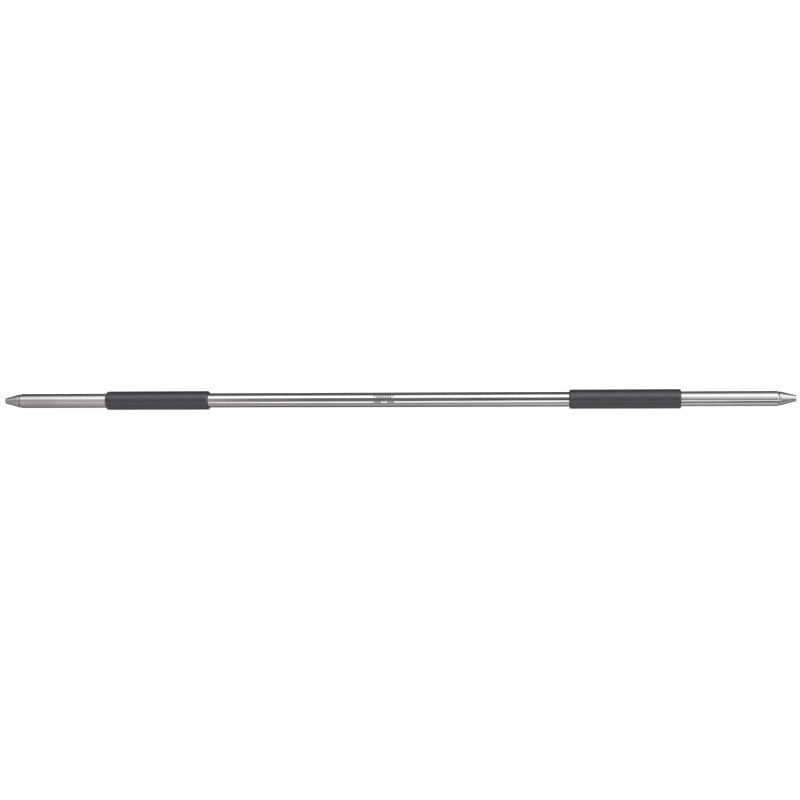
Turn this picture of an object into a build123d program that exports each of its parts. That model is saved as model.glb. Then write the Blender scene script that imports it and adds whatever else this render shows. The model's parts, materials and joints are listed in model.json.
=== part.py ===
from build123d import *
import os

os.makedirs("parts", exist_ok=True)

# A straight steel probe pole in three sections that screw together end to end.
# The centre section is a plain tube with a threaded brass socket fixed in each end.
# Each outer section is a tube with a threaded steel stud in its inner end, a rubber
# grip that runs on past the stud as a skirt over the joint, and a screwed tip.
# X runs along the pole, and the origin is the middle of its axis.
# Threads are plain cylinders at their pitch diameter.

# Driving dimensions, mm
OVERALL_LENGTH = 1200.0
CENTRE_LENGTH = 600.0
MIDDLE_LENGTH = 547.0  # bare tube between the grips
TUBE_DIAMETER = 22.2
TUBE_WALL = 1.5
GRIP_DIAMETER = 28.8
GRIP_LENGTH = 162.5
TIP_LENGTH = 25.1  # from the end of its tube
TIP_FLAT_DIAMETER = 9.2
TIP_BASE_DIAMETER = 20.3
TIP_BASE_LENGTH = 2.7

# Fits and edges, mm
PRESS_GAP = 0.02  # a pressed piece against its tube
THREAD_GAP = 0.1  # between a male and a female thread
SKIRT_GAP = 0.3  # the grip's skirt over the centre tube
EDGE_BREAK = 0.3

# Grip
GRIP_END_RADIUS = 2.6
GRIP_SEAT_DEPTH = 0.2  # the turned seat that stops the grip against a shoulder

# Joint between two sections, mm
JOINT_THREAD_RADIUS = 6.2  # 14 mm trapezoidal thread, 3 mm pitch
JOINT_THREAD_LENGTH = 24.0
FLANGE_LENGTH = 3.0
SHANK_LENGTH = 30.0
STUD_END_CHAMFER = 1.0
SOCKET_LENGTH = 29.8
SOCKET_RECESS = 0.2
JOINT_SEAL_CORD = 1.2
JOINT_SEAL_RADIUS = 7.3
JOINT_POCKET_RADIUS = 8.4
JOINT_POCKET_DEPTH = 1.6
SOCKET_PIN_RADIUS = 1.5
SOCKET_PIN_LENGTH = 2.9
SOCKET_PIN_SETBACK = 14.0  # from the joint face
SOCKET_PIN_ANGLES = (0, 120, 240)
SOCKET_PIN_RECESS = 0.1  # below the tube's surface
STUD_PIN_RADIUS = 2.0
STUD_PIN_SETBACK = 18.0  # from the joint face
STUD_PIN_RECESS = 0.3
PIN_CHAMFER = 0.2

# Screwed tip, mm
TIP_THREAD_RADIUS = 5.4  # 12 mm thread, 1.75 mm pitch
TIP_SHANK_LENGTH = 16.0
TIP_SHANK_CHAMFER = 0.9
TIP_SEAM = 0.7  # the gap between tube and tip
TIP_NECK_RADIUS = 7.95
TIP_GROOVE_RADIUS = 9.5  # the groove in the back of the tip, round its neck, that holds the seal
TIP_GROOVE_DEPTH = 0.35
TIP_SEAL_CORD = 1.45
TIP_SEAL_RADIUS = 8.7
TIP_NOSE_RADIUS = 0.6
TUBE_END_TAPER = 1.2
TUBE_END_TAPER_DEPTH = 0.95
TUBE_END_LAND = 0.2  # beyond the taper
TIP_BUSH_LENGTH = 19.5
TIP_BUSH_RECESS = 0.5
TIP_SHOULDER_GAP = 0.2  # between the neck and the bush it screws into

# Worked out from the above: radii, and distances from the middle of the pole
TUBE_RADIUS = TUBE_DIAMETER / 2
BORE_RADIUS = TUBE_RADIUS - TUBE_WALL
PRESSED_RADIUS = BORE_RADIUS - PRESS_GAP
SEAT_RADIUS = TUBE_RADIUS - GRIP_SEAT_DEPTH
SKIRT_RADIUS = TUBE_RADIUS + SKIRT_GAP
GRIP_RADIUS = GRIP_DIAMETER / 2
JOINT_FACE = CENTRE_LENGTH / 2
OUTER_TUBE_START = JOINT_FACE + FLANGE_LENGTH
GRIP_START = MIDDLE_LENGTH / 2
GRIP_END = GRIP_START + GRIP_LENGTH
POLE_END = OVERALL_LENGTH / 2
TUBE_END = POLE_END - TIP_LENGTH
TIP_BASE_START = TUBE_END + TIP_SEAM
TIP_BUSH_END = TUBE_END - TIP_BUSH_RECESS
SOCKET_PIN_FLOOR = TUBE_RADIUS - SOCKET_PIN_RECESS - SOCKET_PIN_LENGTH

SIDES = {"left": -1, "right": 1}


def outline(side, *points):
    """Points given as (distance from the middle, radius), on one side of the pole."""
    return [(side * distance, radius) for distance, radius in points]


def socket_pin_planes(side):
    """The planes on which the three radial pins of a socket stand."""
    distance = JOINT_FACE - SOCKET_PIN_SETBACK
    turned = [Plane(Location((side * distance, 0, 0), (angle, 0, 0))) for angle in SOCKET_PIN_ANGLES]
    return [plane.offset(SOCKET_PIN_FLOOR) for plane in turned]


def stud_pin_plane(side):
    """The plane through the axis that the stud's cross pin crosses at right angles."""
    return Plane.XY.move(Location((side * (JOINT_FACE + STUD_PIN_SETBACK), 0, 0)))


def outermost_rings(builder):
    """The circular edges with the largest radius."""
    return builder.edges().filter_by(GeomType.CIRCLE).group_by(SortBy.RADIUS)[-1]


def save(part, name):
    part.label = name
    export_step(part, f"parts/{name}.step")


def make_centre_tube():
    with BuildPart() as tube:
        with BuildSketch(Plane.YZ.offset(-JOINT_FACE)):
            Circle(TUBE_RADIUS)
            Circle(BORE_RADIUS, mode=Mode.SUBTRACT)
        extrude(amount=CENTRE_LENGTH)
        chamfer(outermost_rings(tube), EDGE_BREAK)
        for side in SIDES.values():
            with BuildSketch(*socket_pin_planes(side)):
                Circle(SOCKET_PIN_RADIUS)
            extrude(amount=TUBE_WALL + SOCKET_PIN_LENGTH, mode=Mode.SUBTRACT)
    return tube.part


def make_joint_socket(side):
    """A brass bush with the female thread, and a pocket at its mouth for the seal."""
    mouth = JOINT_FACE - SOCKET_RECESS
    bore_radius = JOINT_THREAD_RADIUS + THREAD_GAP
    pocket_floor = mouth - JOINT_POCKET_DEPTH
    with BuildPart() as socket:
        with BuildSketch(Plane.XZ):
            with BuildLine():
                Polyline(
                    outline(
                        side,
                        (mouth - SOCKET_LENGTH, bore_radius),
                        (mouth - SOCKET_LENGTH, PRESSED_RADIUS),
                        (mouth, PRESSED_RADIUS),
                        (mouth, JOINT_POCKET_RADIUS),
                        (pocket_floor, JOINT_POCKET_RADIUS),
                        (pocket_floor, bore_radius),
                    ),
                    close=True,
                )
            make_face()
        revolve(axis=Axis.X)
        inner_end = socket.faces().sort_by(Axis.X)[0 if side > 0 else -1]
        chamfer(inner_end.edges(), EDGE_BREAK)
        with BuildSketch(*socket_pin_planes(side)):
            Circle(SOCKET_PIN_RADIUS)
        extrude(amount=SOCKET_PIN_LENGTH, mode=Mode.SUBTRACT)
    return socket.part


def make_socket_pins(side):
    """Three short radial pins that lock the socket in the centre tube."""
    with BuildPart() as pins:
        with BuildSketch(*socket_pin_planes(side)):
            Circle(SOCKET_PIN_RADIUS)
        extrude(amount=SOCKET_PIN_LENGTH)
        chamfer(outermost_rings(pins), PIN_CHAMFER)
    return pins.part


def make_joint_seal(side):
    """A rubber ring round the stud's neck, in the socket's pocket."""
    middle = JOINT_FACE - SOCKET_RECESS - JOINT_POCKET_DEPTH / 2
    with BuildPart() as seal:
        with BuildSketch(Plane.XZ):
            with Locations((side * middle, JOINT_SEAL_RADIUS)):
                Circle(JOINT_SEAL_CORD / 2)
        revolve(axis=Axis.X)
    return seal.part


def make_joint_stud(side):
    """The steel stud: a threaded spigot, a flange, and a shank fixed in the outer tube."""
    spigot_end = JOINT_FACE - JOINT_THREAD_LENGTH
    shank_end = OUTER_TUBE_START + SHANK_LENGTH
    with BuildPart() as stud:
        with BuildSketch(Plane.XZ):
            with BuildLine():
                Polyline(
                    outline(
                        side,
                        (spigot_end, 0),
                        (spigot_end, JOINT_THREAD_RADIUS),
                        (JOINT_FACE, JOINT_THREAD_RADIUS),
                        (JOINT_FACE, TUBE_RADIUS),
                        (OUTER_TUBE_START, TUBE_RADIUS),
                        (OUTER_TUBE_START, PRESSED_RADIUS),
                        (shank_end, PRESSED_RADIUS),
                        (shank_end, 0),
                    ),
                    close=True,
                )
            make_face()
        revolve(axis=Axis.X)
        chamfer(outermost_rings(stud), EDGE_BREAK)
        rings = stud.edges().filter_by(GeomType.CIRCLE).sort_by(Axis.X)
        chamfer((rings[0], rings[-1]), STUD_END_CHAMFER)
        with BuildSketch(stud_pin_plane(side)):
            Circle(STUD_PIN_RADIUS)
        extrude(amount=TUBE_RADIUS, both=True, mode=Mode.SUBTRACT)
    return stud.part


def make_stud_pin(side):
    """The cross pin that locks the stud in the outer tube, under the grip."""
    with BuildPart() as pin:
        with BuildSketch(stud_pin_plane(side)):
            Circle(STUD_PIN_RADIUS)
        extrude(amount=SEAT_RADIUS - STUD_PIN_RECESS, both=True)
        chamfer(outermost_rings(pin), PIN_CHAMFER)
    return pin.part


def make_outer_tube(side):
    """The outer section's tube, with a turned grip seat and a tapered outer end."""
    land_start = TUBE_END - TUBE_END_LAND
    end_radius = TUBE_RADIUS - TUBE_END_TAPER_DEPTH
    with BuildPart() as tube:
        with BuildSketch(Plane.XZ):
            with BuildLine():
                Polyline(
                    outline(
                        side,
                        (OUTER_TUBE_START, BORE_RADIUS),
                        (OUTER_TUBE_START, SEAT_RADIUS),
                        (GRIP_END, SEAT_RADIUS),
                        (GRIP_END, TUBE_RADIUS),
                        (land_start - TUBE_END_TAPER, TUBE_RADIUS),
                        (land_start, end_radius),
                        (TUBE_END, end_radius),
                        (TUBE_END, BORE_RADIUS),
                    ),
                    close=True,
                )
            make_face()
        revolve(axis=Axis.X)
        with BuildSketch(stud_pin_plane(side)):
            Circle(STUD_PIN_RADIUS)
        extrude(amount=GRIP_RADIUS, both=True, mode=Mode.SUBTRACT)
    return tube.part


def make_grip(side):
    """A rubber sleeve on the outer tube, whose inner end is a loose skirt over the joint."""
    with BuildPart() as grip:
        with BuildSketch(Plane.XZ):
            with BuildLine():
                Polyline(
                    outline(
                        side,
                        (GRIP_START, SKIRT_RADIUS),
                        (GRIP_START, GRIP_RADIUS),
                        (GRIP_END, GRIP_RADIUS),
                        (GRIP_END, SEAT_RADIUS),
                        (OUTER_TUBE_START, SEAT_RADIUS),
                        (OUTER_TUBE_START, SKIRT_RADIUS),
                    ),
                    close=True,
                )
            make_face()
        revolve(axis=Axis.X)
        fillet(outermost_rings(grip), GRIP_END_RADIUS)
    return grip.part


def make_tip_bush(side):
    """A brass bush with the female thread for the tip, fixed in the tube's outer end."""
    bore_radius = TIP_THREAD_RADIUS + THREAD_GAP
    with BuildPart() as bush:
        with BuildSketch(Plane.XZ):
            with BuildLine():
                Polyline(
                    outline(
                        side,
                        (TIP_BUSH_END - TIP_BUSH_LENGTH, bore_radius),
                        (TIP_BUSH_END - TIP_BUSH_LENGTH, PRESSED_RADIUS),
                        (TIP_BUSH_END, PRESSED_RADIUS),
                        (TIP_BUSH_END, bore_radius),
                    ),
                    close=True,
                )
            make_face()
        revolve(axis=Axis.X)
        chamfer(bush.edges().filter_by(GeomType.CIRCLE), EDGE_BREAK)
    return bush.part


def make_tip_seal(side):
    """A rubber ring round the tip's neck, between the bush and the groove in the tip."""
    middle = (TIP_BUSH_END + TIP_BASE_START + TIP_GROOVE_DEPTH) / 2
    with BuildPart() as seal:
        with BuildSketch(Plane.XZ):
            with Locations((side * middle, TIP_SEAL_RADIUS)):
                Circle(TIP_SEAL_CORD / 2)
        revolve(axis=Axis.X)
    return seal.part


def make_tip(side):
    """A blunt steel cone on a short base, with a neck and a threaded shank behind it."""
    shank_start = TUBE_END - TIP_SHANK_LENGTH
    neck_start = TIP_BUSH_END + TIP_SHOULDER_GAP
    groove_floor = TIP_BASE_START + TIP_GROOVE_DEPTH
    cone_start = TIP_BASE_START + TIP_BASE_LENGTH
    with BuildPart() as tip:
        with BuildSketch(Plane.XZ):
            with BuildLine():
                Polyline(
                    outline(
                        side,
                        (shank_start, 0),
                        (shank_start, TIP_THREAD_RADIUS),
                        (neck_start, TIP_THREAD_RADIUS),
                        (neck_start, TIP_NECK_RADIUS),
                        (groove_floor, TIP_NECK_RADIUS),
                        (groove_floor, TIP_GROOVE_RADIUS),
                        (TIP_BASE_START, TIP_GROOVE_RADIUS),
                        (TIP_BASE_START, TIP_BASE_DIAMETER / 2),
                        (cone_start, TIP_BASE_DIAMETER / 2),
                        (POLE_END, TIP_FLAT_DIAMETER / 2),
                        (POLE_END, 0),
                    ),
                    close=True,
                )
            make_face()
        revolve(axis=Axis.X)
        rings = tip.edges().filter_by(GeomType.CIRCLE).sort_by(Axis.X, reverse=side < 0)
        chamfer(rings[0], TIP_SHANK_CHAMFER)
        fillet(rings[-1], TIP_NOSE_RADIUS)
    return tip.part


save(make_centre_tube(), "centre_tube")

for name, side in SIDES.items():
    save(make_joint_socket(side), f"{name}_joint_socket")
    save(make_socket_pins(side), f"{name}_socket_pins")
    save(make_joint_seal(side), f"{name}_joint_seal")
    save(make_joint_stud(side), f"{name}_joint_stud")
    save(make_stud_pin(side), f"{name}_stud_pin")
    save(make_outer_tube(side), f"{name}_outer_tube")
    save(make_grip(side), f"{name}_grip")
    save(make_tip_bush(side), f"{name}_tip_bush")
    save(make_tip_seal(side), f"{name}_tip_seal")
    save(make_tip(side), f"{name}_tip")
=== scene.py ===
import json
import math

import bmesh
import bpy
from mathutils import Matrix, Quaternion, Vector

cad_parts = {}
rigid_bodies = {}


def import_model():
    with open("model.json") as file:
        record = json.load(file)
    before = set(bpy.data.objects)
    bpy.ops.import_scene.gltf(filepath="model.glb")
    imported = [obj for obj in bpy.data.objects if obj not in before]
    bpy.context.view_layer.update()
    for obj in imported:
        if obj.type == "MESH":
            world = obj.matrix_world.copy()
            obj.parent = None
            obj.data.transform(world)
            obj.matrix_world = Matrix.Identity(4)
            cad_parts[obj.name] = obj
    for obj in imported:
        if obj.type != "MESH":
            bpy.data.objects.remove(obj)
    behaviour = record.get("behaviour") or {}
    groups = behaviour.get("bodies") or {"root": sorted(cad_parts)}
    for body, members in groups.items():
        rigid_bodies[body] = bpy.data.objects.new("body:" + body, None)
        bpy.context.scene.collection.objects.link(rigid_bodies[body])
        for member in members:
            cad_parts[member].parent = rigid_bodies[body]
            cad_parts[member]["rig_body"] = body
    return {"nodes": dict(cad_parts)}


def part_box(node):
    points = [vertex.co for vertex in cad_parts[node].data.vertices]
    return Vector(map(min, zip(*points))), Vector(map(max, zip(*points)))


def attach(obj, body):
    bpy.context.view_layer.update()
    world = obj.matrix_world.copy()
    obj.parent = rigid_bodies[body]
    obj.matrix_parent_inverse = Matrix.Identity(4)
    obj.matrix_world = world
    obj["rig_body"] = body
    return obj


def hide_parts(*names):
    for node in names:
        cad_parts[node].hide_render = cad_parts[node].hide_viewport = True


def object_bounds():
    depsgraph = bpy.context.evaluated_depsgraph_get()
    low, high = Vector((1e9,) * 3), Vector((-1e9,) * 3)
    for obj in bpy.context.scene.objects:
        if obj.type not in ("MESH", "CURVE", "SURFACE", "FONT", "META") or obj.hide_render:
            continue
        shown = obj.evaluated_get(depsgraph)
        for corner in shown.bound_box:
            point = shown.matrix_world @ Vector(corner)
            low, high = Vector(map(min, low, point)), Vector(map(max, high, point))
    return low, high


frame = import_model()
cad_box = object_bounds()

# The looks of a steel probe pole in three screwed sections, on a pale studio floor.
# Outlines are in mm: a point is its distance from the middle of the pole and its radius.

MM = 0.001
SIDES = {"left": -1, "right": 1}

# Steps round the axis, round an edge of an outline and round a seal's section
SEGMENTS = 96
ARC_STEPS = 6
SEAL_STEPS = 24

# The longest run of an outline, and how far from its ends a run gets points of its own, mm
LONGEST_RUN = 12.0
SUPPORT = 0.25

MERGE_DISTANCE = 5e-7  # metres
SHARP_ANGLE = math.radians(32)

# Radii of the pieces, mm
TUBE_RADIUS = 11.1
BORE_RADIUS = 9.6
PRESSED_RADIUS = 9.58
SEAT_RADIUS = 10.9
SKIRT_RADIUS = 11.4
POCKET_RADIUS = 8.4
RELIEF_RADIUS = 7.6
STUD_NECK_RADIUS = 6.6
TUBE_END_RADIUS = 10.15
NECK_RADIUS = 7.95
TIP_GROOVE_RADIUS = 9.5
TIP_BASE_RADIUS = 10.15
TIP_FLAT_RADIUS = 4.6

# Lengths along the pole, mm
SOCKET_POCKET = 1.6
SOCKET_RELIEF = 1.4
SPIGOT_LENGTH = 24.0
STUD_NECK_LENGTH = 2.4
COLLAR_LENGTH = 3.0
TUBE_END_TAPER = 1.2
TUBE_END_LAND = 0.2
TIP_SHANK_LENGTH = 15.7
TIP_NECK_LENGTH = 1.0
TIP_GROOVE_DEPTH = 0.35
TIP_BASE_LENGTH = 2.7

# Pins and their holes, mm. A socket's pins start at a radius, and the tube's holes for them
# start well inside the tube's bore.
SOCKET_PIN_RADIUS = 1.5
SOCKET_PIN_FLOOR = 8.1
SOCKET_PIN_LENGTH = 2.9
SOCKET_PIN_CHAMFER = 0.2
SOCKET_PIN_ANGLES = (90.0, 210.0, 330.0)
TUBE_HOLE_FLOOR = 7.5
STUD_PIN_RADIUS = 2.0
STUD_PIN_CHAMFER = 0.25
HOLE_GAP = 0.03
HOLE_CHAMFER = 0.1
SOCKET_HOLE_LENGTH = 6.0
CROSS_HOLE_LENGTH = 30.0

# Centre holes in the ends of the studs and the tips: radius and depth, mm
SPIGOT_CENTRE = (1.6, 1.6)
STUD_BACK_CENTRE = (2.4, 2.6)
SHANK_CENTRE = (1.5, 1.5)

# Radii of the rounded edges, mm
HAIR_EDGE = 0.06
TUBE_END_EDGE = 0.08
TUBE_END_BORE_EDGE = 0.12
FINE_EDGE = 0.1
SMALL_EDGE = 0.15
INNER_EDGE = 0.2
UNDERCUT_EDGE = 0.25
EDGE = 0.3
WIDE_EDGE = 0.35
STUD_BACK_EDGE = 0.9
GRIP_MOUTH_EDGE = 0.5
TIP_SHOULDER_EDGE = 0.5
TIP_NOSE_EDGE = 0.6

# The left grip's outer end is moulded rounder than the other ends of the grips.
GRIP_CORNER = 2.5
GRIP_OUTER_CORNER = {"left": 3.6, "right": 2.5}

# Threads, mm: the lead, the shares of a turn where the profile has its points, their heights
# from the inner radius at 0 to the outer one at 1, and those two radii. The female thread
# clears the male one.
JOINT_LEAD = 3.0
JOINT_SHARES = (0.0, 0.17, 0.33, 0.415, 0.5, 0.67, 0.83, 0.915)
JOINT_HEIGHTS = (1.0, 1.0, 1.0, 0.5, 0.0, 0.0, 0.0, 0.5)
JOINT_MALE = (5.25, 7.0)
JOINT_FEMALE = (5.5, 7.25)
TIP_LEAD = 1.75
TIP_SHARES = (0.0, 0.125, 0.25, 0.375, 0.5, 0.625, 0.75, 0.875)
TIP_HEIGHTS = (1.0, 1.0, 0.67, 0.33, 0.0, 0.0, 0.33, 0.67)
TIP_MALE = (4.93, 6.0)
TIP_FEMALE = (5.1, 6.17)

# The threads' ends, mm: how far past its root a thread runs out, how far past its crests its
# limit lies, and the lengths of its chamfers, of its run-out and of the undercut behind it.
PAST_ROOT = 0.3
PAST_CREST = 0.2
SOCKET_CHAMFER = 2.1
SPIGOT_CHAMFER = 2.25
BUSH_CHAMFER = 1.4
SHANK_CHAMFER = 1.6
THREAD_RUNOUT = 1.2
UNDERCUT_LENGTH = 0.8


# ---------------------------------------------------------------- shapes


def span(node, side):
    """A CAD node's nearest and farthest distance from the middle, in mm."""
    low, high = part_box(node)
    return sorted((side * low.x / MM, side * high.x / MM))


def rounded(corners):
    """A closed outline's points, with an arc at each corner that has a third number, its radius."""
    points = []
    for index, corner in enumerate(corners):
        here = Vector(corner[:2])
        if len(corner) == 2:
            points.append(tuple(here))
            continue
        back = (Vector(corners[index - 1][:2]) - here).normalized()
        ahead = (Vector(corners[(index + 1) % len(corners)][:2]) - here).normalized()
        half = back.angle(ahead) / 2
        centre = here + (back + ahead).normalized() * corner[2] / math.sin(half)
        arm = here + back * corner[2] / math.tan(half) - centre
        turn = math.pi - 2 * half
        if back.x * ahead.y - back.y * ahead.x > 0:
            turn = -turn
        for step in range(ARC_STEPS + 1):
            angle = turn * step / ARC_STEPS
            cosine, sine = math.cos(angle), math.sin(angle)
            points.append(
                (
                    centre.x + arm.x * cosine - arm.y * sine,
                    centre.y + arm.x * sine + arm.y * cosine,
                )
            )
    return points


def divided(points, closed=True):
    """An outline's points with long runs divided. A closed one gets its first point again at its end.

    A run also gets a point close to each of its ends, so that the shading of a rounded edge
    stays at the edge.
    """
    ends = points[1:] + points[:1] if closed else points[1:]
    result = []
    for start, end in zip(points, ends):
        length = math.dist(start, end)
        parts = max(1, math.ceil(length / LONGEST_RUN))
        shares = [part / parts for part in range(parts)]
        if length > 4 * SUPPORT:
            shares[1:1] = [SUPPORT / length]
            shares.append(1 - SUPPORT / length)
        for share in shares:
            result.append(
                (
                    start[0] + (end[0] - start[0]) * share,
                    start[1] + (end[1] - start[1]) * share,
                )
            )
    return result + [points[0] if closed else points[-1]]


def along(line, distance):
    """The radius at a distance on a line of (distance, radius) points."""
    for (start, low), (end, high) in zip(line, line[1:]):
        if distance <= end:
            return low + (high - low) * (distance - start) / (end - start)
    return line[-1][1]


def thread_rings(side, line, lead, shares, heights, radii, pick):
    """Rings of a right-hand thread between the ends of a line of radii that limits it."""
    low, high = sorted((side * line[0][0], side * line[-1][0]))
    rings = []
    for turn in range(math.floor(low / lead) - 1, math.ceil(high / lead) + 1):
        for share, height in zip(shares, heights):
            radius = radii[0] + (radii[1] - radii[0]) * height
            ring = []
            for step in range(SEGMENTS + 1):
                place = (turn + share + step / SEGMENTS) * lead
                distance = side * min(max(place, low), high)
                ring.append((distance, pick(radius, along(line, distance))))
            if not rings or ring != rings[-1]:
                rings.append(ring)
    return rings[::side]


def turned_mesh(name, rings):
    """A mesh turned about the X axis, from rings.

    A ring is one (distance, radius) pair, or a list with a pair for each step round the axis.
    """
    width = SEGMENTS + 1
    vertices = []
    for ring in rings:
        pairs = ring if isinstance(ring, list) else [ring] * width
        for step, (distance, radius) in enumerate(pairs):
            angle = 2 * math.pi * step / SEGMENTS
            y, z = radius * math.cos(angle), radius * math.sin(angle)
            vertices.append((distance * MM, y * MM, z * MM))
    faces = []
    for row in range(len(rings) - 1):
        for step in range(SEGMENTS):
            corner = row * width + step
            faces.append((corner, corner + 1, corner + width + 1, corner + width))
    mesh = bpy.data.meshes.new(name)
    mesh.from_pydata(vertices, [], faces)
    return mesh


def mirrored(rings, side):
    """Rings given by distance, placed on one side of the pole."""
    return [
        [(side * distance, radius) for distance, radius in ring]
        if isinstance(ring, list)
        else (side * ring[0], ring[1])
        for ring in rings
    ]


def cleaned(mesh):
    """Merges the seams and the poles, faces every face outwards and marks the sharp edges."""
    work = bmesh.new()
    work.from_mesh(mesh)
    bmesh.ops.remove_doubles(work, verts=work.verts, dist=MERGE_DISTANCE)
    bmesh.ops.dissolve_degenerate(work, edges=work.edges, dist=MERGE_DISTANCE)
    bmesh.ops.recalc_face_normals(work, faces=work.faces)
    work.to_mesh(mesh)
    work.free()
    mesh.shade_smooth()
    mesh.set_sharp_from_angle(angle=SHARP_ANGLE)
    return mesh


def piece(node, suffix, mesh, material):
    """A piece that stands for a CAD node and rides on its body."""
    made = bpy.data.objects.new(f"{node}_{suffix}", mesh)
    bpy.context.scene.collection.objects.link(made)
    mesh.materials.append(material)
    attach(made, frame["nodes"][node]["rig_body"])
    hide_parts(node)


def pin_mesh(name, radius, length, chamfer, places):
    """Chamfered round pins along each place's own X axis, from its origin."""
    outline = [
        (0.0, 0.0),
        (0.0, radius - chamfer),
        (chamfer, radius),
        (length - chamfer, radius),
        (length, radius - chamfer),
        (length, 0.0),
    ]
    work = bmesh.new()
    for place in places:
        one = turned_mesh(name, outline)
        one.transform(place)
        work.from_mesh(one)
        bpy.data.meshes.remove(one)
    mesh = bpy.data.meshes.new(name)
    work.to_mesh(mesh)
    work.free()
    return cleaned(mesh)


def drilled(mesh, cutter_mesh):
    """The mesh with the cutter's shape taken out of it."""
    body = bpy.data.objects.new("drilled", mesh)
    cutter = bpy.data.objects.new("cutter", cutter_mesh)
    for thing in (body, cutter):
        bpy.context.scene.collection.objects.link(thing)
    hole = body.modifiers.new("hole", "BOOLEAN")
    hole.operation = "DIFFERENCE"
    hole.solver = "EXACT"
    hole.object = cutter
    bpy.context.view_layer.update()
    graph = bpy.context.evaluated_depsgraph_get()
    result = bpy.data.meshes.new_from_object(body.evaluated_get(graph), depsgraph=graph)
    for thing in (body, cutter):
        bpy.data.objects.remove(thing)
    result.name = mesh.name
    result.materials.clear()
    return cleaned(result)


def lathe(name, side, corners):
    """A cleaned mesh from a closed outline of corners."""
    return cleaned(turned_mesh(name, mirrored(divided(rounded(corners)), side)))


def threaded(name, side, thread, corners):
    """A cleaned mesh from a thread's rings and the corners that lead from its end to its start."""
    outline = divided(rounded(corners), closed=False)
    return cleaned(turned_mesh(name, mirrored(thread + outline, side)))


# ---------------------------------------------------------------- materials

# Tints of the greys, and the tint of rubber's highlights
STEEL = (1.0, 0.95, 0.955)
BRASS = (1.0, 0.72, 0.32)
RUBBER = (1.0, 0.88, 1.08)
RUBBER_SHEEN = (0.98, 0.945, 1.0, 1.0)

# The part of a noise's range that is used
NOISE_LOW, NOISE_HIGH = 0.3, 0.7

# Scales of the noises along X, Y and Z, per metre. A metal's rings hardly change along Y and Z.
RING_DRIFT = 18.0
SMUDGE_SCALE = (14.0, 70.0, 70.0)
RUB_SCALE = (9.0, 900.0, 900.0)
MOTTLE_SCALE = (60.0, 160.0, 160.0)
FINE_GRAIN = 1.7  # times the scale of the rubber's cells

# What the smudges, rings and rubs do to a metal: their share of its tone, how far they change
# its roughness, and the height of the rubs beside the rings.
SMUDGE_TONE = 0.6
SMUDGE_DEPTH = 0.025
STREAK_DEPTH = (-0.02, 0.03)
RUB_HEIGHT = 0.3
METAL_BUMP = 0.6
ANISOTROPY = 0.4
QUARTER_TURN = 0.25

# The same for the mottling and the grain of rubber, and its dusty sheen
MOTTLE_TONE = 0.65
MOTTLE_DEPTH = 0.05
GRAIN_DEPTH = 0.04
GRAIN_HEIGHT = 0.6
RUBBER_BUMP = 0.7
SHEEN_WEIGHT = 0.06
SHEEN_ROUGHNESS = 0.5


def add(tree, kind, inputs=None, **settings):
    """A node with its settings, and its inputs linked to sockets or set to values."""
    made = tree.nodes.new(kind)
    for key, value in settings.items():
        setattr(made, key, value)
    for key, value in (inputs or {}).items():
        if isinstance(value, bpy.types.NodeSocket):
            tree.links.new(value, made.inputs[key])
        else:
            made.inputs[key].default_value = value
    return made


def calculate(tree, operation, *values):
    """The output of a Math node."""
    inputs = dict(enumerate(values))
    return add(tree, "ShaderNodeMath", inputs, operation=operation).outputs[0]


def noise(tree, place, scale, detail=2.0, roughness=0.5):
    """The grey output of a noise texture whose scale is per metre along X, Y and Z."""
    stretched = add(tree, "ShaderNodeMapping", {"Vector": place, "Scale": scale}).outputs[0]
    inputs = {"Vector": stretched, "Scale": 1.0, "Detail": detail, "Roughness": roughness}
    return add(tree, "ShaderNodeTexNoise", inputs).outputs["Fac"]


def spread(tree, value, low, high):
    """The value mapped from the middle of the noise's range to low..high."""
    inputs = {"Value": value, 1: NOISE_LOW, 2: NOISE_HIGH, 3: low, 4: high}
    return add(tree, "ShaderNodeMapRange", inputs).outputs[0]


def blended(tree, factor, first, second):
    """The colour output of a Mix node."""
    inputs = {0: factor, 6: first, 7: second}
    return add(tree, "ShaderNodeMix", inputs, data_type="RGBA").outputs[2]


def surface(name):
    """A new material's node tree, its shader and the place on the object."""
    material = bpy.data.materials.new(name)
    material.use_nodes = True
    tree = material.node_tree
    place = add(tree, "ShaderNodeTexCoord").outputs["Object"]
    return material, tree, tree.nodes["Principled BSDF"], place


def tinted(value, tint):
    """A grey value times a tint, as a colour."""
    return (value * tint[0], value * tint[1], value * tint[2], 1.0)


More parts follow.
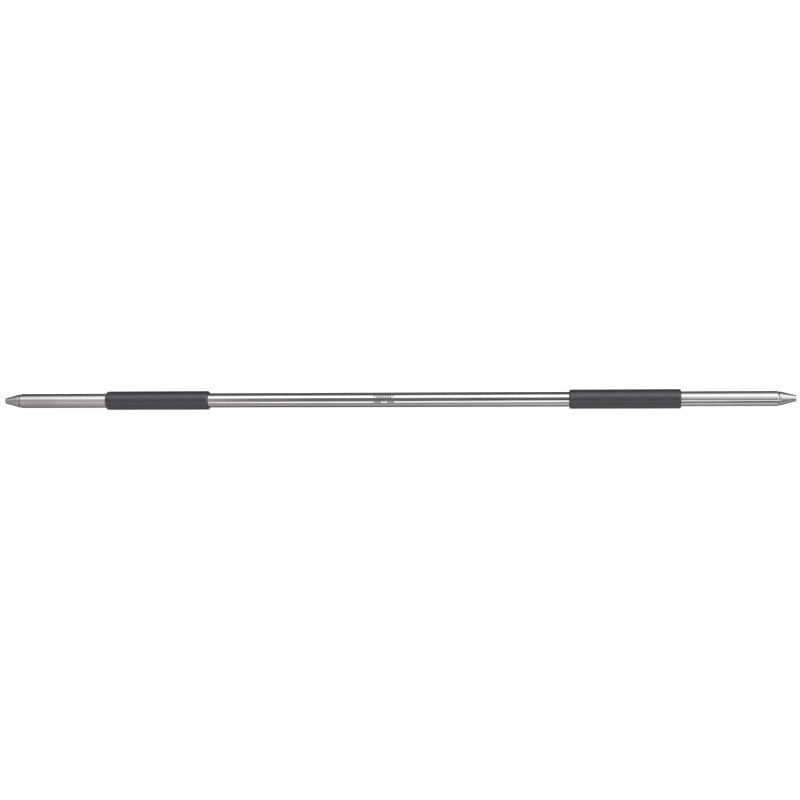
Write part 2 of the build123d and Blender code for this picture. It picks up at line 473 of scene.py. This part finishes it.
def metal(name, dark, light, roughness, ring_scale, ring_depth):
    """Turned or ground metal: fine rings round the axis, faint lengthwise rubs and broad smudges."""
    material, tree, shader, place = surface(name)
    rings = noise(tree, place, (ring_scale, RING_DRIFT, RING_DRIFT), detail=3.0, roughness=0.7)
    broad = noise(tree, place, SMUDGE_SCALE, detail=3.0)
    rubs = noise(tree, place, RUB_SCALE, detail=2.0)
    smudged = spread(tree, broad, 0.0, SMUDGE_TONE)
    tone = calculate(tree, "ADD", smudged, spread(tree, rings, 0.0, 1 - SMUDGE_TONE))
    colour = blended(tree, tone, dark, light)
    rough = spread(tree, broad, roughness - SMUDGE_DEPTH, roughness + SMUDGE_DEPTH)
    for streaks in (rubs, rings):
        rough = calculate(tree, "ADD", rough, spread(tree, streaks, *STREAK_DEPTH))
    height = calculate(tree, "ADD", rings, calculate(tree, "MULTIPLY", rubs, RUB_HEIGHT))
    inputs = {"Height": height, "Strength": METAL_BUMP, "Distance": ring_depth}
    bump = add(tree, "ShaderNodeBump", inputs)
    tree.links.new(colour, shader.inputs["Base Color"])
    tree.links.new(rough, shader.inputs["Roughness"])
    tree.links.new(bump.outputs[0], shader.inputs["Normal"])
    tangent = add(tree, "ShaderNodeTangent", direction_type="RADIAL", axis="X")
    tree.links.new(tangent.outputs[0], shader.inputs["Tangent"])
    shader.inputs["Metallic"].default_value = 1.0
    shader.inputs["Anisotropic"].default_value = ANISOTROPY
    shader.inputs["Anisotropic Rotation"].default_value = QUARTER_TURN
    return material, tree, shader, place


def between(tree, value, low, high):
    """1 where the value lies between low and high."""
    above = calculate(tree, "GREATER_THAN", value, low)
    below = calculate(tree, "LESS_THAN", value, high)
    return calculate(tree, "MULTIPLY", above, below)


# The index scale. A reach is mm along the pole from the scale's centre, on both sides of it,
# and takes in the centre if it starts below 0. A turn is degrees round the pole, from the
# front upwards.
MARK_CENTRE = -2.0
TICK_PITCH = 2.6
TICK_WIDTH = 1.6
TICK_REACH, TICK_TURN = (-1.0, 11.4), (33, 62)
POINTER_REACH, POINTER_TURN = (-1.0, 1.4), (5, 26)
DOT_REACH, DOT_TURN = (13.1, 15.0), (40, 55)
LINE_REACH, LINE_TURN = (4.4, 15.4), (-8, 7)
DEEP_GREY = 0.2
SHALLOW_GREY = 0.5
ETCH_ROUGHNESS = 0.5


def index_mark(tree, place):
    """An index scale on the front of the pole's middle: its deep marks, and its shallow ones."""
    parts = add(tree, "ShaderNodeSeparateXYZ", {0: place}).outputs
    x = calculate(tree, "MULTIPLY_ADD", parts[0], 1.0 / MM, -MARK_CENTRE)
    reach = calculate(tree, "ABSOLUTE", x)
    front = calculate(tree, "MULTIPLY", parts[1], -1.0)
    turn = calculate(tree, "DEGREES", calculate(tree, "ARCTAN2", parts[2], front))

    def block(reaches, turns):
        """1 inside a block of the scale."""
        return calculate(tree, "MULTIPLY", between(tree, reach, *reaches), between(tree, turn, *turns))

    gap = calculate(tree, "PINGPONG", x, TICK_PITCH / 2)
    on_tick = calculate(tree, "LESS_THAN", gap, TICK_WIDTH / 2)
    ticks = calculate(tree, "MULTIPLY", on_tick, block(TICK_REACH, TICK_TURN))
    dots = block(DOT_REACH, DOT_TURN)
    pointer = block(POINTER_REACH, POINTER_TURN)
    deep = calculate(tree, "MAXIMUM", calculate(tree, "MAXIMUM", ticks, dots), pointer)
    return deep, block(LINE_REACH, LINE_TURN)


def etch(tree, shader, mark, colour, roughness):
    """Darkens and dulls the shader where the mark is."""
    plain = shader.inputs["Base Color"].links[0].from_socket
    tree.links.new(blended(tree, mark, plain, colour), shader.inputs["Base Color"])
    smooth = shader.inputs["Roughness"].links[0].from_socket
    step = calculate(tree, "SUBTRACT", roughness, smooth)
    dulled = calculate(tree, "MULTIPLY_ADD", step, mark, smooth)
    tree.links.new(dulled, shader.inputs["Roughness"])


def rubber(name, dark, light, roughness, grain, depth, shine):
    """Moulded rubber with a fine cellular grain and slight mottling."""
    material, tree, shader, place = surface(name)
    cells = add(tree, "ShaderNodeTexVoronoi", {"Vector": place, "Scale": grain}).outputs["Distance"]
    fine = noise(tree, place, (grain * FINE_GRAIN,) * 3, detail=3.0)
    broad = noise(tree, place, MOTTLE_SCALE, detail=4.0, roughness=0.6)
    mottled = spread(tree, broad, 0.0, MOTTLE_TONE)
    tone = calculate(tree, "ADD", mottled, spread(tree, fine, 0.0, 1 - MOTTLE_TONE))
    tree.links.new(blended(tree, tone, dark, light), shader.inputs["Base Color"])
    rough = spread(tree, broad, roughness - MOTTLE_DEPTH, roughness + MOTTLE_DEPTH)
    rough = calculate(tree, "ADD", rough, spread(tree, fine, -GRAIN_DEPTH, GRAIN_DEPTH))
    tree.links.new(rough, shader.inputs["Roughness"])
    height = calculate(tree, "ADD", cells, calculate(tree, "MULTIPLY", fine, GRAIN_HEIGHT))
    bump = add(tree, "ShaderNodeBump", {"Height": height, "Strength": RUBBER_BUMP, "Distance": depth})
    tree.links.new(bump.outputs[0], shader.inputs["Normal"])
    shader.inputs["Specular IOR Level"].default_value = shine
    shader.inputs["Specular Tint"].default_value = RUBBER_SHEEN
    shader.inputs["Sheen Weight"].default_value = SHEEN_WEIGHT
    shader.inputs["Sheen Roughness"].default_value = SHEEN_ROUGHNESS
    return material


def steel(name, dark, light, roughness, ring_scale, ring_depth):
    """A metal from two greys of steel."""
    return metal(name, tinted(dark, STEEL), tinted(light, STEEL), roughness, ring_scale, ring_depth)


# A metal has a dark and a light tone, a roughness, and its rings' scale per metre and depth in
# metres. A rubber has the same, with its cells for the rings, and the strength of its shine.
centre_steel, centre_tree, centre_shader, centre_place = steel(
    "ground_steel_bright", 0.56, 0.66, 0.1, 1500.0, 0.000006
)
deep_marks, shallow_marks = index_mark(centre_tree, centre_place)
for marks, grey in ((deep_marks, DEEP_GREY), (shallow_marks, SHALLOW_GREY)):
    etch(centre_tree, centre_shader, marks, tinted(grey, STEEL), ETCH_ROUGHNESS)
outer_steel = steel("ground_steel_satin", 0.55, 0.66, 0.13, 1200.0, 0.000008)[0]
tip_steel = steel("turned_steel_tip", 0.51, 0.64, 0.24, 1100.0, 0.00003)[0]
stud_steel = steel("machined_steel", 0.46, 0.58, 0.26, 1300.0, 0.00002)[0]
pin_steel = steel("ground_pin_steel", 0.42, 0.5, 0.22, 900.0, 0.000008)[0]
brass = metal("machined_brass", tinted(0.6, BRASS), tinted(0.76, BRASS), 0.24, 1300.0, 0.00002)[0]
grip_rubber = rubber(
    "moulded_grip_rubber", tinted(0.008, RUBBER), tinted(0.016, RUBBER), 0.4, 1500.0, 0.00004, 1.0
)
seal_rubber = rubber(
    "seal_ring_rubber", tinted(0.05, RUBBER), tinted(0.08, RUBBER), 0.42, 3000.0, 0.00003, 0.5
)


# ---------------------------------------------------------------- the centre tube


def socket_pin_places(word, side, floor):
    """Where the three radial pins of a joint socket start, at a radius from the axis."""
    low, high = span(f"{word}_socket_pins", side)
    along_pole = Matrix.Translation((side * (low + high) / 2 * MM, 0, 0))
    outwards = Matrix.Rotation(math.radians(90), 4, "Z") @ Matrix.Translation((floor * MM, 0, 0))
    places = []
    for angle in SOCKET_PIN_ANGLES:
        places.append(along_pole @ Matrix.Rotation(math.radians(angle), 4, "X") @ outwards)
    return places


def socket_pin_holes(word, side, floor):
    """The cutter for the holes of a joint socket's pins, from a radius outwards."""
    radius = SOCKET_PIN_RADIUS + HOLE_GAP
    places = socket_pin_places(word, side, floor)
    return pin_mesh("holes", radius, SOCKET_HOLE_LENGTH, HOLE_CHAMFER, places)


def make_centre_tube():
    near, far = span("centre_tube", 1)
    corners = [
        (near, BORE_RADIUS, SMALL_EDGE),
        (near, TUBE_RADIUS, WIDE_EDGE),
        (far, TUBE_RADIUS, WIDE_EDGE),
        (far, BORE_RADIUS, SMALL_EDGE),
    ]
    mesh = lathe("centre_tube", 1, corners)
    for word, side in SIDES.items():
        mesh = drilled(mesh, socket_pin_holes(word, side, TUBE_HOLE_FLOOR))
    piece("centre_tube", "steel", mesh, centre_steel)


def make_joint_socket(word, side):
    """A threaded socket with a pocket for the seal at its far end."""
    node = f"{word}_joint_socket"
    near, far = span(node, side)
    pocket = far - SOCKET_POCKET
    relief = pocket - SOCKET_RELIEF
    crest = JOINT_FEMALE[0]
    limit = [
        (near, RELIEF_RADIUS),
        (near + SOCKET_CHAMFER, crest),
        (relief - SOCKET_CHAMFER, crest),
        (relief, RELIEF_RADIUS),
    ]
    bore = thread_rings(side, limit, JOINT_LEAD, JOINT_SHARES, JOINT_HEIGHTS, JOINT_FEMALE, max)
    corners = [
        (relief, RELIEF_RADIUS),
        (pocket, RELIEF_RADIUS, SMALL_EDGE),
        (pocket, POCKET_RADIUS, FINE_EDGE),
        (far, POCKET_RADIUS, INNER_EDGE),
        (far, PRESSED_RADIUS, SMALL_EDGE),
        (near, PRESSED_RADIUS, WIDE_EDGE),
        (near, RELIEF_RADIUS),
    ]
    mesh = threaded(node, side, bore, corners)
    mesh = drilled(mesh, socket_pin_holes(word, side, SOCKET_PIN_FLOOR - HOLE_GAP))
    piece(node, "brass", mesh, brass)


def make_socket_pins(word, side):
    node = f"{word}_socket_pins"
    places = socket_pin_places(word, side, SOCKET_PIN_FLOOR)
    mesh = pin_mesh(node, SOCKET_PIN_RADIUS, SOCKET_PIN_LENGTH, SOCKET_PIN_CHAMFER, places)
    piece(node, "steel", mesh, pin_steel)


def make_seal(node, side):
    """A seal ring: a torus as wide as its CAD node is long."""
    near, far = span(node, side)
    cord = (far - near) / 2
    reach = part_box(node)[1].z / MM
    middle = (near + far) / 2
    rings = []
    for step in range(SEAL_STEPS + 1):
        angle = 2 * math.pi * step / SEAL_STEPS
        rings.append((middle + cord * math.cos(angle), reach - cord + cord * math.sin(angle)))
    mesh = cleaned(turned_mesh(node, mirrored(rings, side)))
    piece(node, "rubber", mesh, seal_rubber)


# ---------------------------------------------------------------- the outer sections


def cross_place(word, side, start):
    """A place for a stud's pin, which crosses the axis along Z, from a height."""
    low, high = span(f"{word}_stud_pin", side)
    distance = side * (low + high) / 2 * MM
    turn = Matrix.Rotation(math.radians(-90), 4, "Y")
    return Matrix.Translation((distance, 0, start * MM)) @ turn


def stud_pin_hole(word, side):
    """The cutter for the hole of a stud's pin, right across the pole."""
    place = cross_place(word, side, -CROSS_HOLE_LENGTH / 2)
    return pin_mesh("hole", STUD_PIN_RADIUS + HOLE_GAP, CROSS_HOLE_LENGTH, HOLE_CHAMFER, [place])


def male_thread(side, start, end, chamfer, lead, shares, heights, radii):
    """A male thread's rings, from a chamfered start to an undercut, and the undercut's radius."""
    root = radii[0] - PAST_ROOT
    over = radii[1] + PAST_CREST
    limit = [(start, root), (start + chamfer, over), (end - THREAD_RUNOUT, over), (end, root)]
    return thread_rings(side, limit, lead, shares, heights, radii, min), root


def make_joint_stud(word, side):
    """A threaded stud: a spigot, a collar as wide as the tube, and a plug inside the tube."""
    node = f"{word}_joint_stud"
    near, far = span(node, side)
    face = near + SPIGOT_LENGTH
    tube = face + COLLAR_LENGTH
    neck = face - STUD_NECK_LENGTH
    undercut = neck - UNDERCUT_LENGTH
    spigot, root = male_thread(
        side, near, undercut, SPIGOT_CHAMFER, JOINT_LEAD, JOINT_SHARES, JOINT_HEIGHTS, JOINT_MALE
    )
    corners = [
        (undercut, root),
        (neck, root, UNDERCUT_EDGE),
        (neck, STUD_NECK_RADIUS, EDGE),
        (face, STUD_NECK_RADIUS, FINE_EDGE),
        (face, TUBE_RADIUS, EDGE),
        (tube, TUBE_RADIUS, EDGE),
        (tube, PRESSED_RADIUS, FINE_EDGE),
        (far, PRESSED_RADIUS, STUD_BACK_EDGE),
        (far, STUD_BACK_CENTRE[0], EDGE),
        (far - STUD_BACK_CENTRE[1], 0.0),
        (near + SPIGOT_CENTRE[1], 0.0),
        (near, SPIGOT_CENTRE[0], INNER_EDGE),
        (near, root),
    ]
    mesh = drilled(threaded(node, side, spigot, corners), stud_pin_hole(word, side))
    piece(node, "steel", mesh, stud_steel)


def make_stud_pin(word, side):
    node = f"{word}_stud_pin"
    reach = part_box(node)[1].z / MM
    place = cross_place(word, side, -reach)
    mesh = pin_mesh(node, STUD_PIN_RADIUS, 2 * reach, STUD_PIN_CHAMFER, [place])
    piece(node, "steel", mesh, pin_steel)


def make_outer_tube(word, side):
    """An outer tube, a little narrower under its grip and tapered towards its tip."""
    node = f"{word}_outer_tube"
    near, far = span(node, side)
    shoulder = span(f"{word}_grip", side)[1]
    land = far - TUBE_END_LAND
    corners = [
        (near, BORE_RADIUS, FINE_EDGE),
        (near, SEAT_RADIUS, FINE_EDGE),
        (shoulder, SEAT_RADIUS),
        (shoulder, TUBE_RADIUS, HAIR_EDGE),
        (land - TUBE_END_TAPER, TUBE_RADIUS, EDGE),
        (land, TUBE_END_RADIUS, FINE_EDGE),
        (far, TUBE_END_RADIUS, TUBE_END_EDGE),
        (far, BORE_RADIUS, TUBE_END_BORE_EDGE),
    ]
    mesh = drilled(lathe(node, side, corners), stud_pin_hole(word, side))
    piece(node, "steel", mesh, outer_steel)


def make_grip(word, side):
    """A grip on its outer tube, with a loose skirt over the joint."""
    node = f"{word}_grip"
    near, far = span(node, side)
    radius = min(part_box(node)[1].y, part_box(node)[1].z) / MM
    seat = span(f"{word}_outer_tube", side)[0]
    corners = [
        (near, SKIRT_RADIUS, GRIP_MOUTH_EDGE),
        (near, radius, GRIP_CORNER),
        (far, radius, GRIP_OUTER_CORNER[word]),
        (far, SEAT_RADIUS, FINE_EDGE),
        (seat, SEAT_RADIUS, FINE_EDGE),
        (seat, SKIRT_RADIUS, FINE_EDGE),
    ]
    piece(node, "rubber", lathe(node, side, corners), grip_rubber)


def make_tip_bush(word, side):
    node = f"{word}_tip_bush"
    near, far = span(node, side)
    crest = TIP_FEMALE[0]
    wide = TIP_FEMALE[1] + PAST_ROOT
    limit = [(near, wide), (near + BUSH_CHAMFER, crest), (far - BUSH_CHAMFER, crest), (far, wide)]
    bore = thread_rings(side, limit, TIP_LEAD, TIP_SHARES, TIP_HEIGHTS, TIP_FEMALE, max)
    corners = [(far, wide), (far, PRESSED_RADIUS, EDGE), (near, PRESSED_RADIUS, EDGE), (near, wide)]
    piece(node, "brass", threaded(node, side, bore, corners), brass)


def make_tip(word, side):
    """A tip: a threaded shank, a neck for the seal, a grooved base and a blunt cone."""
    node = f"{word}_tip"
    near, far = span(node, side)
    neck = near + TIP_SHANK_LENGTH
    face = neck + TIP_NECK_LENGTH
    floor = face + TIP_GROOVE_DEPTH
    cone = face + TIP_BASE_LENGTH
    undercut = neck - UNDERCUT_LENGTH
    shank, root = male_thread(
        side, near, undercut, SHANK_CHAMFER, TIP_LEAD, TIP_SHARES, TIP_HEIGHTS, TIP_MALE
    )
    corners = [
        (undercut, root),
        (neck, root, INNER_EDGE),
        (neck, NECK_RADIUS, INNER_EDGE),
        (floor, NECK_RADIUS, FINE_EDGE),
        (floor, TIP_GROOVE_RADIUS, FINE_EDGE),
        (face, TIP_GROOVE_RADIUS, FINE_EDGE),
        (face, TIP_BASE_RADIUS, SMALL_EDGE),
        (cone, TIP_BASE_RADIUS, TIP_SHOULDER_EDGE),
        (far, TIP_FLAT_RADIUS, TIP_NOSE_EDGE),
        (far, 0.0),
        (near + SHANK_CENTRE[1], 0.0),
        (near, SHANK_CENTRE[0], INNER_EDGE),
        (near, root),
    ]
    piece(node, "steel", threaded(node, side, shank, corners), tip_steel)


make_centre_tube()
for word, side in SIDES.items():
    make_joint_socket(word, side)
    make_socket_pins(word, side)
    make_seal(f"{word}_joint_seal", side)
    make_joint_stud(word, side)
    make_stud_pin(word, side)
    make_outer_tube(word, side)
    make_grip(word, side)
    make_tip_bush(word, side)
    make_seal(f"{word}_tip_seal", side)
    make_tip(word, side)


# ---------------------------------------------------------------- studio

# What is brighter than this in the studio is a panel, and whiter than the rest.
PANEL_RADIANCE = 1.0
BRIGHT_LIGHT = (1.0, 1.04, 1.05)
DIM_LIGHT = (1.0, 0.98, 0.995)
WHITE = (1.0, 1.0, 1.0, 1.0)


def radiance_ramp(tree, turn, stops):
    """A grey ramp over the turn from -180 to 180 degrees, for (angle, radiance) stops."""
    ramp = add(tree, "ShaderNodeValToRGB", {0: turn})
    marks = ramp.color_ramp.elements
    while len(marks) < len(stops):
        marks.new(0.5)
    for mark, (angle, radiance) in zip(marks, stops):
        mark.position = (angle + 180) / 360
        mark.color = tinted(radiance, BRIGHT_LIGHT if radiance > PANEL_RADIANCE else DIM_LIGHT)
    return ramp.outputs[0]


# How bright the studio looks round the pole: 0 is the front at eye level, 90 is overhead.
LEFT_STOPS = (
    (-180, 0.15), (-125, 0.1), (-100, 0.2), (-84, 0.3), (-61, 0.44), (-41, 0.39), (-22, 0.56),
    (-5, 0.59), (11, 0.53), (28, 0.46), (42, 0.75), (55, 1.25), (70, 1.2), (82, 0.98), (94, 0.45),
    (110, 0.14), (140, 0.12), (180, 0.15),
)
MIDDLE_STOPS = (
    (-180, 0.15), (-125, 0.05), (-104, 0.1), (-90, 0.34), (-78, 0.58), (-62, 0.5), (-36, 0.42),
    (-28, 0.5), (-25, 1.8), (-10, 1.8), (-7, 0.35), (8, 0.2), (38, 0.18), (47, 0.22), (52, 1.9),
    (87, 1.9), (91, 0.3), (104, 0.14), (130, 0.14), (150, 0.22), (180, 0.2),
)
MIDDLE_RIGHT_STOPS = (
    (-180, 0.15), (-125, 0.05), (-104, 0.16), (-92, 0.34), (-80, 0.72), (-52, 0.7), (-38, 0.42),
    (-27, 0.28), (-23, 1.7), (-2, 1.7), (2, 0.15), (12, 0.05), (38, 0.05), (46, 0.12), (51, 1.75),
    (93, 1.75), (97, 0.2), (108, 0.09), (130, 0.1), (150, 0.22), (180, 0.2),
)
RIGHT_STOPS = (
    (-180, 0.15), (-140, 0.1), (-118, 0.2), (-100, 0.36), (-85, 0.5), (-72, 0.8), (-58, 0.8),
    (-46, 0.42), (-38, 0.15), (-33, 0.02), (-22, 0.02), (-18, 1.3), (-7, 1.3), (-3, 0.38),
    (18, 0.4), (25, 1.05), (46, 1.1), (57, 1.6), (90, 1.65), (96, 0.8), (104, 0.35), (120, 0.2),
    (150, 0.18), (180, 0.15),
)
LEFT_TIP_STOPS = (
    (-180, 0.15), (-110, 0.3), (-60, 0.45), (-20, 0.52), (-5, 0.5), (5, 0.36), (22, 0.38),
    (35, 0.55), (60, 0.8), (90, 0.5), (120, 0.25), (180, 0.15),
)
RIGHT_TIP_STOPS = (
    (-180, 0.15), (-100, 0.36), (-60, 0.5), (-40, 0.3), (-20, 0.3), (-5, 0.45), (10, 0.8),
    (25, 1.25), (57, 1.6), (90, 1.6), (100, 0.6), (120, 0.2), (180, 0.15),
)

# Where the studio changes from the middle's stops to others, as the X of the direction that is
# looked in: the fade's start, its end and the stops beyond it.
ZONES = (
    (-0.22, -0.295, LEFT_STOPS),
    (-0.13, -0.04, MIDDLE_RIGHT_STOPS),
    (-0.02, 0.03, RIGHT_STOPS),
    (-0.45, -0.7, LEFT_TIP_STOPS),
    (0.25, 0.45, RIGHT_TIP_STOPS),
)

# The studio's two ends: the fade's start, its end and the radiance beyond it
STUDIO_ENDS = ((-0.88, -0.96, 0.2), (0.88, 0.96, 1.5))

# A brighter band between two fades, and how much brighter it is
BAND_FADES = ((-0.348, -0.322), (-0.27, -0.3))
BAND_GAIN = 0.7


def faded(tree, value, start, end):
    """0 up to the start, 1 from the end on, and smooth in between."""
    inputs = {"Value": value, 1: start, 2: end}
    return add(tree, "ShaderNodeMapRange", inputs, interpolation_type="SMOOTHSTEP").outputs[0]


def build_world():
    """The light round the pole. The camera itself sees white."""
    world = bpy.data.worlds.new("studio")
    bpy.context.scene.world = world
    world.use_nodes = True
    tree = world.node_tree
    tree.nodes.clear()
    ray = add(tree, "ShaderNodeTexCoord").outputs["Generated"]
    parts = add(tree, "ShaderNodeSeparateXYZ", {0: ray}).outputs
    front = calculate(tree, "MULTIPLY", parts[1], -1.0)
    angle = calculate(tree, "ARCTAN2", parts[2], front)
    turn = calculate(tree, "MULTIPLY_ADD", angle, 0.5 / math.pi, 0.5)

    light = radiance_ramp(tree, turn, MIDDLE_STOPS)
    for start, end, stops in ZONES:
        light = blended(tree, faded(tree, parts[0], start, end), light, radiance_ramp(tree, turn, stops))
    for start, end, radiance in STUDIO_ENDS:
        light = blended(tree, faded(tree, parts[0], start, end), light, tinted(radiance, DIM_LIGHT))
    rise, fall = (faded(tree, parts[0], *fade) for fade in BAND_FADES)
    gain = calculate(tree, "MULTIPLY_ADD", calculate(tree, "MULTIPLY", rise, fall), BAND_GAIN, 1.0)
    light = add(tree, "ShaderNodeVectorMath", {0: light, "Scale": gain}, operation="SCALE").outputs[0]
    seen = add(tree, "ShaderNodeLightPath").outputs["Is Camera Ray"]
    light = blended(tree, seen, light, WHITE)
    shine = add(tree, "ShaderNodeBackground", {"Color": light, "Strength": 1.0})
    output = add(tree, "ShaderNodeOutputWorld")
    tree.links.new(shine.outputs[0], output.inputs["Surface"])


# The pale floor, which glows a little so that it stays even
FLOOR_REACH = 60.0  # metres
FLOOR_GREY = (0.5, 0.5, 0.5, 1.0)
FLOOR_GLOW = 0.92
FLOOR_ROUGHNESS = 0.9
FLOOR_SHINE = 0.1

# The soft light overhead
SUN_STRENGTH = 1.6
SUN_WIDTH = math.radians(70)
SUN_LEAN = math.radians(18)


def build_floor(height):
    mesh = bpy.data.meshes.new("floor")
    signs = ((-1, -1), (1, -1), (1, 1), (-1, 1))
    corners = [(x * FLOOR_REACH, y * FLOOR_REACH, 0) for x, y in signs]
    mesh.from_pydata(corners, [], [(0, 1, 2, 3)])
    floor = bpy.data.objects.new("floor", mesh)
    floor.location.z = height
    bpy.context.scene.collection.objects.link(floor)
    material = bpy.data.materials.new("pale_floor")
    material.use_nodes = True
    shader = material.node_tree.nodes["Principled BSDF"]
    shader.inputs["Base Color"].default_value = FLOOR_GREY
    shader.inputs["Emission Color"].default_value = WHITE
    shader.inputs["Emission Strength"].default_value = FLOOR_GLOW
    shader.inputs["Roughness"].default_value = FLOOR_ROUGHNESS
    shader.inputs["Specular IOR Level"].default_value = FLOOR_SHINE
    mesh.materials.append(material)
    floor.visible_glossy = False
    floor.visible_shadow = False


def build_light():
    """A very wide soft light from above and a little in front."""
    data = bpy.data.lights.new("overhead", "SUN")
    data.energy = SUN_STRENGTH
    data.angle = SUN_WIDTH
    lamp = bpy.data.objects.new("overhead", data)
    lamp.rotation_euler = (SUN_LEAN, 0, 0)
    lamp.visible_glossy = False
    bpy.context.scene.collection.objects.link(lamp)


# The camera stands a little to the right of the middle and looks down at the pole. Distances
# are in metres, the lens and the sensor in mm.
CAMERA_DISTANCE = 2.2614
CAMERA_AZIMUTH = math.radians(8.729)
CAMERA_ELEVATION = math.radians(20.0)
CAMERA_LENS = 67.79
SENSOR_WIDTH = 36.0
CAMERA_REACH = 200.0
CAMERA_AIM = Vector((0.02085, 0.0, -0.00057))
POLE_TILT = math.radians(0.19)


def build_camera():
    """A camera aimed at the pole and rolled until the pole lies almost level in its picture."""
    data = bpy.data.cameras.new("camera")
    data.lens = CAMERA_LENS
    data.sensor_width = SENSOR_WIDTH
    data.clip_end = CAMERA_REACH
    camera = bpy.data.objects.new("camera", data)
    bpy.context.scene.collection.objects.link(camera)
    level = math.cos(CAMERA_ELEVATION)
    back = Vector(
        (
            math.sin(CAMERA_AZIMUTH) * level,
            -math.cos(CAMERA_AZIMUTH) * level,
            math.sin(CAMERA_ELEVATION),
        )
    )
    roll = math.atan(math.tan(CAMERA_AZIMUTH) * math.sin(CAMERA_ELEVATION)) + POLE_TILT
    camera.location = CAMERA_AIM + back * CAMERA_DISTANCE
    camera.rotation_mode = "QUATERNION"
    aimed = (-back).to_track_quat("-Z", "Y")
    camera.rotation_quaternion = aimed @ Quaternion((0, 0, 1), -roll)
    bpy.context.scene.camera = camera


build_world()
build_floor(cad_box[0].z)
build_light()
build_camera()
bpy.context.scene.view_settings.view_transform = "Standard"
